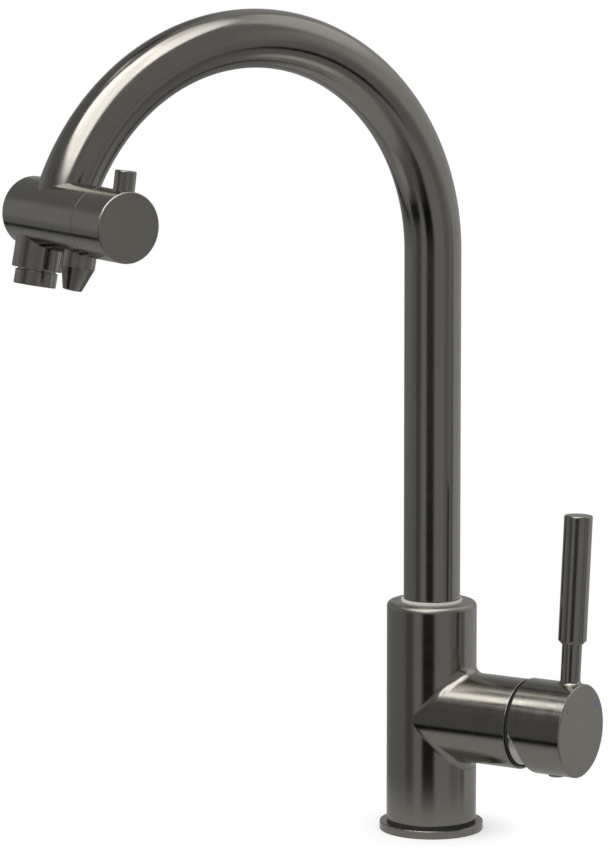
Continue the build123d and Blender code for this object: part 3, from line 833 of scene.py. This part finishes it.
def outlet_head():
    """The bar across the spout's tip, with the valve's chamber: an outline turned about the head's x."""
    corners = [
        (0, HEAD_FAR),
        (HEAD_R, HEAD_FAR, HEAD_FAR_ROUND),
        (HEAD_R, HEAD_NEAR, KNOB_GAP_BREAK),
        (VALVE_CHAMBER_R, HEAD_NEAR, EDGE_BREAK),
        (VALVE_CHAMBER_R, VALVE_CHAMBER_FAR),
        (0, VALVE_CHAMBER_FAR),
    ]
    return turned(outline(corners), HEAD @ ALONG_X)


def aerator_collar():
    """The main outlet's collar: a stub on the head, its outline turned about the outlet's axis."""
    corners = [
        (COLLAR_R, STUB_RISE),
        (COLLAR_R, COLLAR_END, COLLAR_ROUND),
        (COLLAR_BORE, COLLAR_END, EDGE_BREAK),
        (COLLAR_BORE, COLLAR_BORE_TOP),
        (0, COLLAR_BORE_TOP),
    ]
    return coped_stub(COLLAR_R, AERATOR, outline(corners))


def aerator_shell():
    """The ring screwed into the collar: a closed outline turned about the outlet's axis."""
    corners = [
        (AERATOR_BORE, AERATOR_NECK_TOP),
        (AERATOR_NECK_R, AERATOR_NECK_TOP),
        (AERATOR_NECK_R, AERATOR_TOP),
        (AERATOR_R, AERATOR_TOP, AERATOR_TOP_ROUND),
        (AERATOR_R, AERATOR_END, COLLAR_ROUND),
        (AERATOR_MOUTH_R, AERATOR_END, EDGE_BREAK),
        (AERATOR_MOUTH_R, AERATOR_END - AERATOR_LIP),
        (AERATOR_BORE, AERATOR_END - AERATOR_LIP),
    ]
    return turned(outline(corners, closed=True), AERATOR, circle(SMALL_SIDES))


def filter_nozzle():
    """The tapered nozzle: below its knee each ring is moved sideways and tilted as its drop grows."""

    def leant(points):
        drop = np.clip(points[..., 2] - NOZZLE_KNEE, 0, None) / (NOZZLE_END - NOZZLE_KNEE)
        dip = math.tan(math.radians(NOZZLE_TIP_TILT)) * points[..., 0]
        return points + stacked(NOZZLE_TIP_SHIFT * drop, 0.0, dip * drop)

    corners = [
        (NOZZLE_R, STUB_RISE),
        (NOZZLE_R, NOZZLE_KNEE, NOZZLE_KNEE_ROUND),
        (NOZZLE_TIP_R, NOZZLE_END, NOZZLE_TIP_ROUND),
        (NOZZLE_BORE, NOZZLE_END, EDGE_BREAK),
        (NOZZLE_BORE, NOZZLE_KNEE),
        (NOZZLE_BORE, STUB_RISE),
        (0, STUB_RISE),
    ]
    return coped_stub(NOZZLE_R, HEAD @ shift(NOZZLE_AT, 0, 0) @ FLIPPED, outline(corners), leant)


def filter_knob():
    """The knob: a cup turned about the head's x, with a grub screw's hole in its wall."""
    matrix = KNOB @ ALONG_X
    angles = circle(SIDES)
    low, high = KNOB_SCREW_AT - KNOB_SCREW_BAND, KNOB_SCREW_AT + KNOB_SCREW_BAND
    cup = [
        (0, SPINDLE_HOLE_END),
        (SPINDLE_HOLE_R, SPINDLE_HOLE_END),
        (SPINDLE_HOLE_R, KNOB_FLOOR),
        (HEAD_R - KNOB_WALL, KNOB_FLOOR),
        (HEAD_R - KNOB_WALL, KNOB_REAR),
        (HEAD_R, KNOB_REAR, KNOB_GAP_BREAK),
        (HEAD_R, low),
    ]
    front = [
        (HEAD_R, high),
        (HEAD_R, KNOB_FACE - KNOB_CHAMFER, FINE_BREAK),
        (HEAD_R - KNOB_CHAMFER, KNOB_FACE, FINE_BREAK),
        (0, KNOB_FACE),
    ]
    patches = turned(outline(cup), matrix, angles)
    screw_band = (HEAD_R, low, high, 0, KNOB_SCREW_COLUMNS, SIDES)
    patches += drilled_band(*screw_band, KNOB_SCREW_R, HEAD_R - KNOB_SCREW_DEPTH, matrix)
    return patches + turned(outline(front), matrix, angles, start=high)


def knob_pin():
    """The pin on the knob: a stub with a rounded end."""
    corners = [(PIN_R, STUB_RISE), (PIN_R, PIN_END, PIN_ROUND), (0, PIN_END)]
    return coped_stub(PIN_R, KNOB @ shift(PIN_AT, 0, 0), outline(corners))


def handle_cap():
    """The cap: a cup turned about the arm, whose rear rim is cut back in two slopes below the axis."""
    matrix = HANDLE @ ALONG_X
    angles = circle(BODY_SIDES)
    bore = CAP_R - CAP_WALL
    low, high = SCREW_X - SCREW_BAND, SCREW_X + SCREW_BAND

    def rear(r, v):
        return CAP_REAR + np.interp(r * np.cos(v), CAP_CUT_BELOW, CAP_CUT_BACK)

    def rim(u, v):
        r = bore + (CAP_WALL - CAP_REAR_BREAK) * u
        return round_points(matrix, r, v, rear(r, v))

    def bevel(u, v):
        r = CAP_R - CAP_REAR_BREAK * (1 - u)
        return round_points(matrix, r, v, rear(r, v) + CAP_REAR_BREAK * u)

    def outside(u, v):
        height = (1 - u) * (rear(CAP_R, v) + CAP_REAR_BREAK) + u * low
        return round_points(matrix, CAP_R, v, height)

    def inside(u, v):
        height = (1 - u) * CAP_FLOOR + u * rear(bore, v)
        return round_points(matrix, bore, v, height)

    front = [
        (CAP_R, high),
        (CAP_R, CAP_FACE - CAP_CHAMFER, FINE_BREAK),
        (CAP_R - CAP_CHAMFER, CAP_FACE, FINE_BREAK),
        (0, CAP_FACE),
    ]
    patches = turned([straight((0, CAP_FLOOR), (bore, CAP_FLOOR))], matrix, angles)
    patches += [
        surface(inside, 1, angles, 0, CAP_FLOOR - CAP_REAR),
        surface(rim, 1, angles, 0, CAP_WALL, True),
        surface(bevel, 1, angles, 0, CAP_REAR_BREAK, True),
        surface(outside, 1, angles, CAP_REAR, low - CAP_REAR),
    ]
    screw_band = (CAP_R, low, high, 0, SCREW_COLUMNS, BODY_SIDES)
    patches += drilled_band(*screw_band, SCREW_HOLE_R, CAP_R - SCREW_HOLE_DEPTH, matrix)
    return patches + turned(outline(front), matrix, angles, start=high)


def lever_stem():
    """The rod, its foot spread onto the round of the cap by a rolled ball, as the arm's is."""
    matrix = LEVER @ X_UPWARD
    centre, rim, blend = saddle(CAP_R, STEM_R, STEM_FLARE)
    angles = circle(SMALL_SIDES)

    def base(u, v):
        x, z = rim(v)
        r = CAP_R - SINK * (1 - u)
        return round_points(matrix, r, u * x / CAP_R, u * z)

    top = outline(
        [
            (STEM_R, GRIP_FOOT - LAST_STRETCH),
            (STEM_R, GRIP_FOOT),
            (STEM_SPIGOT_R, GRIP_FOOT),
            (STEM_SPIGOT_R, STEM_TOP),
            (0, STEM_TOP),
        ]
    )
    foot = surface(base, RING_STEPS, angles, 0, STEM_R, True)
    rod = branch(centre, blend, STEM_R, GRIP_FOOT - LAST_STRETCH, top, matrix, angles, STEM_FLARE)
    return [foot] + rod


def lever_grip():
    """The sleeve on the rod: an outline with a blind bore, turned about the lever."""
    corners = [
        (0, GRIP_BORE_TOP),
        (GRIP_BORE, GRIP_BORE_TOP),
        (GRIP_BORE, GRIP_FOOT),
        (GRIP_R - GRIP_FOOT_CHAMFER, GRIP_FOOT, FINE_BREAK),
        (GRIP_R, GRIP_FOOT + GRIP_FOOT_CHAMFER, 2 * FINE_BREAK),
        (GRIP_R, GRIP_TOP, GRIP_TOP_ROUND),
        (0, GRIP_TOP),
    ]
    return turned(outline(corners), LEVER)


def handle_plug():
    """The plug over the cap's grub screw: an outline turned about the screw's axis."""
    foot, top = CAP_R - PLUG_DEPTH, CAP_R + PLUG_PROUD
    corners = [(0, foot), (PLUG_R, foot), (PLUG_R, top, PLUG_ROUND), (0, top)]
    return turned(outline(corners), HANDLE @ shift(SCREW_X, 0, 0) @ FLIPPED, circle(SMALL_SIDES))


def handle_dot(side):
    """The enamel dot on the cap's face, hot (-1) or cold (+1): a low disc with a rounded edge."""
    angle = math.radians(DOT_ANGLE)
    place = shift(0, side * DOT_CIRCLE * math.sin(angle), DOT_CIRCLE * math.cos(angle))
    foot, top = CAP_FACE - DOT_DEPTH, CAP_FACE + DOT_PROUD
    corners = [(0, foot), (DOT_R, foot), (DOT_R, top, DOT_PROUD), (0, top)]
    return turned(outline(corners), HANDLE @ place @ ALONG_X, circle(DOT_SIDES))


# Finishes
def new_finish(name):
    """A material with its nodes, links and shader."""
    material = bpy.data.materials.new(name)
    material.use_nodes = True
    nodes = material.node_tree.nodes
    return material, nodes, material.node_tree.links, nodes["Principled BSDF"]


def scaled(nodes, links, vector, factors):
    """The vector socket's value times three factors."""
    node = nodes.new("ShaderNodeVectorMath")
    node.operation = "MULTIPLY"
    node.inputs[1].default_value = factors
    links.new(vector, node.inputs[0])
    return node.outputs[0]


def noise(nodes, links, vector, scale, detail):
    """A noise value at the vector times scale."""
    node = nodes.new("ShaderNodeTexNoise")
    node.inputs["Scale"].default_value = scale
    node.inputs["Detail"].default_value = detail
    links.new(vector, node.inputs["Vector"])
    return node.outputs["Fac"]


def ranged(nodes, links, value, low, high, start=0.3, stop=0.7):
    """The value between start and stop, where most of a noise lies, spread over low to high."""
    node = nodes.new("ShaderNodeMapRange")
    for socket, number in zip(node.inputs[1:5], (start, stop, low, high)):
        socket.default_value = number
    links.new(value, node.inputs[0])
    return node.outputs[0]


def tinted(nodes, links, value, dark, light):
    """A colour between dark and light by a value from 0 to 1."""
    node = nodes.new("ShaderNodeMix")
    node.data_type = "RGBA"
    node.inputs["A"].default_value = (*dark, 1)
    node.inputs["B"].default_value = (*light, 1)
    links.new(value, node.inputs["Factor"])
    return node.outputs["Result"]


def bumped(nodes, links, shader, height, strength, depth):
    """Raise the shader's surface by the height value times depth."""
    bump = nodes.new("ShaderNodeBump")
    bump.inputs["Strength"].default_value = strength
    bump.inputs["Distance"].default_value = depth
    links.new(height, bump.inputs["Height"])
    links.new(bump.outputs[0], shader.inputs["Normal"])


def shade(colour, factor):
    """The colour times a factor, no part of it over 1."""
    return tuple(min(1.0, c * factor) for c in colour)


def brushed_round(name, colour, roughness, stretch):
    """Metal brushed round and round: fine marks across the piece, and shine drawn out along it.

    Fine marks times clouds vary its colour, and broad belts along the piece vary its roughness.
    """
    material, nodes, links, shader = new_finish(name)
    lay = nodes.new("ShaderNodeAttribute")
    lay.attribute_name = LAY
    lay = lay.outputs["Vector"]
    fine = noise(nodes, links, scaled(nodes, links, lay, FINE_MARKS), 1.0, 4.0)
    belts = noise(nodes, links, scaled(nodes, links, lay, BROAD_BELTS), 1.0, 2.0)
    place = nodes.new("ShaderNodeTexCoord").outputs["Object"]
    clouds = noise(nodes, links, place, CLOUD_SCALE, 2.0)
    both = nodes.new("ShaderNodeMath")
    both.operation = "MULTIPLY"
    links.new(ranged(nodes, links, fine, 0.0, 1.0), both.inputs[0])
    links.new(ranged(nodes, links, clouds, 0.6, 1.0), both.inputs[1])
    tint = tinted(nodes, links, both.outputs[0], shade(colour, 0.95), shade(colour, 1.06))
    links.new(tint, shader.inputs["Base Color"])
    rough = ranged(nodes, links, belts, roughness - 0.02, roughness + 0.03)
    links.new(rough, shader.inputs["Roughness"])
    bumped(nodes, links, shader, fine, 0.3, MARK_DEPTH)
    shader.inputs["Metallic"].default_value = 1.0
    shader.inputs["Anisotropic"].default_value = stretch
    grain = nodes.new("ShaderNodeTangent")
    grain.direction_type = "UV_MAP"
    grain.uv_map = BRUSH_MAP
    links.new(grain.outputs[0], shader.inputs["Tangent"])
    return material


def plain_finish(name, colour, roughness, metallic=0.0, grain=60.0, wear=0.05, coat=0.0):
    """A cast, moulded or matt finish: a fine grain in its colour, its shine and its surface."""
    material, nodes, links, shader = new_finish(name)
    place = nodes.new("ShaderNodeTexCoord").outputs["Object"]
    speckle = noise(nodes, links, place, grain * SPECKLES_PER_GRAIN, 2.0)
    clouds = ranged(nodes, links, noise(nodes, links, place, grain, 3.0), 0.0, 1.0)
    tint = tinted(nodes, links, clouds, shade(colour, 1 - wear), shade(colour, 1 + wear))
    links.new(tint, shader.inputs["Base Color"])
    rough = ranged(nodes, links, speckle, roughness * 0.85, min(1.0, roughness * 1.15))
    links.new(rough, shader.inputs["Roughness"])
    bumped(nodes, links, shader, speckle, 0.2, GRAIN_DEPTH)
    shader.inputs["Metallic"].default_value = metallic
    shader.inputs["Coat Weight"].default_value = coat
    return material


nickel_round = brushed_round("brushed_nickel", NICKEL, 0.16, 0.6)
nickel_face = plain_finish("satin_nickel_face", shade(NICKEL, 1.06), 0.36, 1.0, grain=30.0, wear=0.04)
FINISHES = {
    "brushed_nickel": nickel_face,
    "bright_chrome": plain_finish("polished_dome", (0.62, 0.6, 0.57), 0.14, metallic=1.0),
    "pale_plastic": plain_finish("pale_plastic", (0.62, 0.61, 0.58), 0.42),
    "grey_plastic": plain_finish("grey_plastic", (0.16, 0.15, 0.14), 0.45),
    "rubber": plain_finish("black_rubber", (0.02, 0.02, 0.02), 0.7),
    "brass": plain_finish("turned_brass", (0.62, 0.45, 0.2), 0.3, metallic=1.0),
    "plain_steel": plain_finish("plain_steel", (0.5, 0.49, 0.47), 0.3, metallic=1.0),
    "steel_pipe": plain_finish("steel_pipe", (0.52, 0.51, 0.49), 0.25, metallic=1.0),
    "cartridge_plastic": plain_finish("cartridge_plastic", (0.5, 0.48, 0.42), 0.45),
    "ceramic": plain_finish("ceramic_disc", (0.75, 0.74, 0.7), 0.15),
    "red_enamel": plain_finish("red_enamel", (0.16, 0.02, 0.018), 0.25, grain=400.0, coat=0.5),
    "blue_enamel": plain_finish("blue_enamel", (0.04, 0.06, 0.27), 0.25, grain=400.0, coat=0.5),
}
METAL = (nickel_round, nickel_face)

# Put together: each piece with its patches, its body, the nodes it replaces and its slot
PIECES = (
    ("tap_body_cast", tap_body(), "body", ["tap_body"], "brushed_nickel"),
    ("foot_ring", base_ring(), "body", ["base_ring"], "brushed_nickel"),
    ("spout_glide", glide_ring(), "body", ["glide_ring"], "pale_plastic"),
    ("nut_dome", dome_collar(), "body", ["dome_collar"], "bright_chrome"),
    ("spout_arch", spout_tube(), "spout", ["spout_tube"], "brushed_nickel"),
    ("cross_head", outlet_head(), "spout", ["outlet_head"], "brushed_nickel"),
    ("aerator_stub", aerator_collar(), "spout", ["aerator_collar"], "brushed_nickel"),
    ("aerator_ring", aerator_shell(), "spout", ["aerator_shell"], "brushed_nickel"),
    ("filter_spout", filter_nozzle(), "spout", ["filter_nozzle"], "brushed_nickel"),
    ("filter_turn_knob", filter_knob(), "knob", ["filter_knob"], "brushed_nickel"),
    ("filter_turn_pin", knob_pin(), "knob", ["knob_pin"], "brushed_nickel"),
    ("mixer_cap", handle_cap(), "handle", ["handle_cap"], "brushed_nickel"),
    ("mixer_stem", lever_stem(), "handle", ["lever_stem"], "brushed_nickel"),
    ("mixer_grip", lever_grip(), "handle", ["lever_grip"], "brushed_nickel"),
    ("mixer_plug", handle_plug(), "handle", ["handle_plug"], "grey_plastic"),
    ("hot_mark", handle_dot(-1), "handle", ["hot_dot"], "red_enamel"),
    ("cold_mark", handle_dot(1), "handle", ["cold_dot"], "blue_enamel"),
)
for piece in PIECES:
    slot = piece[-1]
    make_piece(*piece, METAL if slot == "brushed_nickel" else [FINISHES[slot]])

# The inner pieces keep their own meshes and wear their finishes
for subpart in frame["record"]["subparts"]:
    node = frame["nodes"][subpart["node"]]
    if not node.hide_render:
        node.data.materials.clear()
        node.data.materials.append(FINISHES[subpart["material_slot"]])


# Camera
def unit_views():
    """The camera's backward, right and up directions, before roll."""
    a, e = math.radians(VIEW_AZIMUTH), math.radians(VIEW_ELEVATION)
    back = np.array((math.sin(a) * math.cos(e), -math.cos(a) * math.cos(e), math.sin(e)))
    right = np.array((math.cos(a), math.sin(a), 0.0))
    return back, right, np.cross(back, right)


def place_camera():
    """The photograph's camera: eye = side right + rise up + distance back, with the view rolled."""
    back, right, up = unit_views()
    roll = math.radians(VIEW_ROLL)
    eye = right * VIEW_SIDE + up * VIEW_RISE + back * VIEW_DISTANCE
    rolled_right = right * math.cos(roll) + up * math.sin(roll)
    rolled_up = up * math.cos(roll) - right * math.sin(roll)
    matrix = np.eye(4)
    matrix[:3, 0], matrix[:3, 1], matrix[:3, 2] = rolled_right, rolled_up, back
    matrix[:3, 3] = eye * METRES
    data = bpy.data.cameras.new("photo_view")
    data.sensor_width = SENSOR
    data.lens = FOCAL_PIXELS * SENSOR / LONG_SIDE_PIXELS
    data.clip_start, data.clip_end = 0.1, 100.0
    camera = placed("photo_view", data)
    camera.matrix_world = matrix.T.tolist()
    bpy.context.scene.camera = camera


# Stage
def seen_directly(nodes, links):
    """1 for camera, glossy and transmission rays, 0 for the rays that light a surface."""
    path = nodes.new("ShaderNodeLightPath")
    total = path.outputs["Is Camera Ray"]
    for name in ("Is Glossy Ray", "Is Transmission Ray"):
        add = nodes.new("ShaderNodeMath")
        add.operation = "MAXIMUM"
        links.new(total, add.inputs[0])
        links.new(path.outputs[name], add.inputs[1])
        total = add.outputs[0]
    return total


def blended(nodes, links, share, first, second):
    """The first shader, with a share of the second laid over it."""
    mix = nodes.new("ShaderNodeMixShader")
    links.new(share, mix.inputs[0])
    links.new(first.outputs[0], mix.inputs[1])
    links.new(second.outputs[0], mix.inputs[2])
    return mix


def white_world():
    """A white background that lights surfaces a little less than it shows."""
    world = bpy.data.worlds.new("white_room")
    bpy.context.scene.world = world
    world.use_nodes = True
    nodes, links = world.node_tree.nodes, world.node_tree.links
    strength = ranged(nodes, links, seen_directly(nodes, links), WORLD_LIGHT, 1.0, 0.0, 1.0)
    links.new(strength, nodes["Background"].inputs["Strength"])
    nodes["Background"].inputs["Color"].default_value = (1, 1, 1, 1)


def pale_floor():
    """A round floor that fades into the white background away from the object.

    Mirrored in metal it is a small grey sheet round the foot, and beyond that the studio shows.
    """
    mesh = bpy.data.meshes.new("pale_floor")
    angles = np.linspace(0, 2 * np.pi, FLOOR_SIDES, endpoint=False)
    rim = FLOOR_R * np.stack([np.cos(angles), np.sin(angles), 0 * angles], -1)
    mesh.from_pydata(rim.tolist(), [], [list(range(FLOOR_SIDES))])
    floor = placed("pale_floor", mesh)
    material, nodes, links, shader = new_finish("pale_floor")
    shader.inputs["Base Color"].default_value = (*FLOOR_COLOUR, 1)
    shader.inputs["Roughness"].default_value = FLOOR_ROUGHNESS
    place = nodes.new("ShaderNodeTexCoord").outputs["Object"]
    length = nodes.new("ShaderNodeVectorMath")
    length.operation = "LENGTH"
    links.new(place, length.inputs[0])
    fade = ranged(nodes, links, length.outputs["Value"], 0.0, 1.0, *FLOOR_FADE)
    share = nodes.new("ShaderNodeMath")
    share.operation = "MULTIPLY"
    links.new(fade, share.inputs[0])
    links.new(seen_directly(nodes, links), share.inputs[1])
    glow = nodes.new("ShaderNodeEmission")
    seen = blended(nodes, links, share.outputs[0], shader, glow)
    sheet = nodes.new("ShaderNodeEmission")
    sheet.inputs["Strength"].default_value = SHEET_GLOW
    through = nodes.new("ShaderNodeBsdfTransparent")
    near = ranged(nodes, links, length.outputs["Value"], 1.0, 0.0, *SHEET_FADE)
    mirrored = blended(nodes, links, near, through, sheet)
    path = nodes.new("ShaderNodeLightPath")
    both = blended(nodes, links, path.outputs["Is Glossy Ray"], seen, mirrored)
    links.new(both.outputs[0], nodes["Material Output"].inputs["Surface"])
    mesh.materials.append(material)


def smooth(t):
    """A soft step from 0 to 1 as t does: 3 t^2 - 2 t^3."""
    t = np.clip(t, 0, 1)
    return t * t * (3 - 2 * t)


def soft_card(azimuth, elevation, card):
    """How much of the card covers each direction: its two soft steps, across and up, multiplied."""
    at, height, half_width, half_height, soft, _ = card
    across = np.abs((azimuth - at + 180) % 360 - 180)
    weight = 1.0
    for off, half in ((across, half_width), (np.abs(elevation - height), half_height)):
        weight = weight * smooth((half + soft / 2 - off) / soft)
    return weight


def studio_glow(azimuth, elevation):
    """The dim walls, the cards laid over them in turn, and last the ceiling above its lower edge."""
    glow = np.full(azimuth.shape, WALL_GLOW)
    for card in CARDS:
        weight = soft_card(azimuth, elevation, card)
        glow = glow * (1 - weight) + card[-1] * weight
    azimuths, *columns = zip(*CEILING)
    edge, softness, ceiling_glow = (np.interp(azimuth, azimuths, column) for column in columns)
    weight = smooth((elevation - edge) / softness + 0.5)
    return glow * (1 - weight) + ceiling_glow * weight


def studio_shell():
    """A far sphere that only shiny surfaces see: cos e (cos a level + sin a right) + sin e up."""
    azimuth, elevation = np.meshgrid(
        np.linspace(-180, 180, SHELL_POINTS[0]), np.linspace(-90, 90, SHELL_POINTS[1])
    )
    back, right, _ = unit_views()
    level = np.array((back[0], back[1], 0.0)) / math.hypot(back[0], back[1])
    a, e = np.radians(azimuth)[..., None], np.radians(elevation)[..., None]
    away = np.cos(e) * (np.cos(a) * level + np.sin(a) * right) + np.sin(e) * np.array((0, 0, 1.0))
    points = away * SHELL_R + np.array(MIDDLE)
    count, across = azimuth.shape
    index = np.arange(count * across).reshape(count, across)
    quads = np.stack([index[:-1, :-1], index[:-1, 1:], index[1:, 1:], index[1:, :-1]], -1).reshape(-1, 4)
    mesh = bpy.data.meshes.new("studio_shell")
    mesh.from_pydata(points.reshape(-1, 3).tolist(), [], quads.tolist())
    glow = studio_glow(azimuth, elevation).astype(np.float32)
    mesh.attributes.new("glow", "FLOAT", "POINT").data.foreach_set("value", glow.ravel())
    shell = placed("studio_shell", mesh)
    material, nodes, links, _ = new_finish("studio_shell")
    reader = nodes.new("ShaderNodeAttribute")
    reader.attribute_name = "glow"
    glow_shader = nodes.new("ShaderNodeEmission")
    links.new(reader.outputs["Fac"], glow_shader.inputs["Strength"])
    links.new(glow_shader.outputs[0], nodes["Material Output"].inputs["Surface"])
    mesh.materials.append(material)
    shell.visible_camera = shell.visible_diffuse = False
    shell.visible_shadow = shell.visible_transmission = False


def soft_lamp(name, place, size, power):
    """A square soft lamp aimed at the middle, which shiny surfaces don't see."""
    data = bpy.data.lights.new(name, "AREA")
    data.size = size
    data.energy = power
    lamp = placed(name, data)
    way = np.array(place) - np.array(MIDDLE)
    z = way / np.linalg.norm(way)
    x = np.cross((0, 0, 1.0), z)
    x /= np.linalg.norm(x)
    matrix = np.eye(4)
    matrix[:3, 0], matrix[:3, 1], matrix[:3, 2], matrix[:3, 3] = x, np.cross(z, x), z, place
    lamp.matrix_world = matrix.T.tolist()
    lamp.visible_glossy = False


place_camera()
white_world()
pale_floor()
studio_shell()
for lamp in LAMPS:
    soft_lamp(*lamp)
bpy.context.scene.view_settings.view_transform = "Standard"
